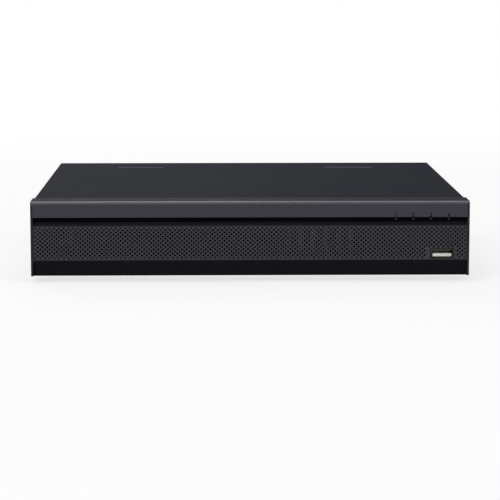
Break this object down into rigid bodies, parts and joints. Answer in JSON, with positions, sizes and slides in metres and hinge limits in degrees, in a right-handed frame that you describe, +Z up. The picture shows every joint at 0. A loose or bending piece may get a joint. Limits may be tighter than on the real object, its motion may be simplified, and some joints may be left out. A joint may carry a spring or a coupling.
{
  "type": "digital video recorder",
  "caption": "Compact video recorder: sheet-steel case, sliding cover, moulded grille front, video, audio, network, monitor and power sockets behind, disk drive inside.",
  "frame": {"origin": "middle of the whole part's footprint, on the surface under the feet", "axes": "+X to the right seen from the front, +Y to the rear panel, +Z up"},
  "size_m": [0.256, 0.237, 0.0475],
  "materials": {
    "galvanised_steel": "passivated zinc-plated sheet, satin",
    "cover_paint": "fine-textured powder coat, satin",
    "bezel_plastic": "spark-eroded moulding texture",
    "gloss_strip": "high gloss black",
    "clear_plastic": "clear acrylic light pipe",
    "foot_rubber": "matt",
    "nickel_screw": "nickel plated steel",
    "nickel_plate": "bright nickel plate over zinc",
    "ivory_plastic": "smooth",
    "gold_contact": "gold flash",
    "black_plastic": "moulded, semi-matt",
    "red_plastic": "smooth",
    "green_plastic": "smooth",
    "blue_plastic": "smooth",
    "white_plastic": "smooth",
    "yellow_lamp": "clear tinted",
    "green_lamp": "clear tinted",
    "tinned_steel": "tin plated",
    "circuit_board": "solder mask over glass laminate",
    "chip_black": "moulded epoxy",
    "black_anodised": "black anodised extrusion",
    "capacitor_can": "sleeved can",
    "drive_casting": "die cast",
    "drive_lid": "stamped steel",
    "platter_mirror": "polished",
    "red_cable": "soft plastic sheath",
    "black_cable": "soft plastic sheath"
  },
  "bodies": {
    "case": {"chassis": "galvanised_steel", "rear_panel": "galvanised_steel", "front_bezel": "bezel_plastic", "grille_panel": "bezel_plastic", "indicator_strip": "gloss_strip", "light_pipes": "clear_plastic", "feet": "foot_rubber", "ground_screw": "nickel_screw", "board_screws": "nickel_screw", "bnc_shell_1": "nickel_plate", "bnc_shell_2": "nickel_plate", "bnc_shell_3": "nickel_plate", "bnc_shell_4": "nickel_plate", "bnc_shell_5": "nickel_plate", "bnc_shell_6": "nickel_plate", "bnc_shell_7": "nickel_plate", "bnc_shell_8": "nickel_plate", "bnc_insulators": "ivory_plastic", "bnc_contacts": "gold_contact", "bnc_blocks": "black_plastic", "rca_block": "black_plastic", "rca_shells": "nickel_plate", "rca_inserts": "red_plastic", "hdmi_shell": "tinned_steel", "hdmi_tongue": "black_plastic", "lan_shield": "tinned_steel", "lan_insert": "black_plastic", "lan_contacts": "gold_contact", "lan_led_yellow": "yellow_lamp", "lan_led_green": "green_lamp", "terminal_body": "green_plastic", "terminal_clamps": "tinned_steel", "usb_shells": "tinned_steel", "usb_tongue_rear": "black_plastic", "usb_tongue_front": "white_plastic", "dc_jack_body": "black_plastic", "dc_jack_pin": "tinned_steel", "vga_shell": "tinned_steel", "vga_insert": "blue_plastic", "vga_posts": "nickel_plate", "main_board": "circuit_board", "board_chips": "chip_black", "heat_sink": "black_anodised", "board_capacitors": "capacitor_can", "board_sockets": "white_plastic", "coin_cell": "tinned_steel", "front_board": "circuit_board", "hdd_base": "drive_casting", "hdd_lid": "drive_lid", "hdd_board": "circuit_board", "hdd_screws": "nickel_screw", "sata_cable": "red_cable", "front_cable": "black_cable"},
    "cover": {"top_cover": "cover_paint", "cover_screws": "nickel_screw"},
    "lever_1": {"terminal_lever_1": "red_plastic"},
    "lever_2": {"terminal_lever_2": "red_plastic"},
    "spindle": {"hdd_hub": "drive_casting", "hdd_platters": "platter_mirror"},
    "arm": {"hdd_arm": "drive_casting"}
  },
  "joints": [
    {"name": "cover_slide", "type": "slide", "parent": "case", "child": "cover", "axis": [0, 1, 0], "range_m": [0, 0.235]},
    {"name": "lever_1_push", "type": "slide", "parent": "case", "child": "lever_1", "axis": [0, -1, 0], "range_m": [0, 0.0015], "stiffness_N_per_m": 1500, "springref_m": -0.0004},
    {"name": "lever_2_push", "type": "slide", "parent": "case", "child": "lever_2", "axis": [0, -1, 0], "range_m": [0, 0.0015], "stiffness_N_per_m": 1500, "springref_m": -0.0004},
    {"name": "disk_spin", "type": "hinge", "parent": "case", "child": "spindle", "pos_m": [0.0719, -0.0447, 0.0183], "axis": [0, 0, 1], "continuous": true},
    {"name": "arm_swing", "type": "hinge", "parent": "case", "child": "arm", "pos_m": [0.0989, 0.0078, 0.0183], "axis": [0, 0, 1], "range_deg": [0, 33]}
  ]
}
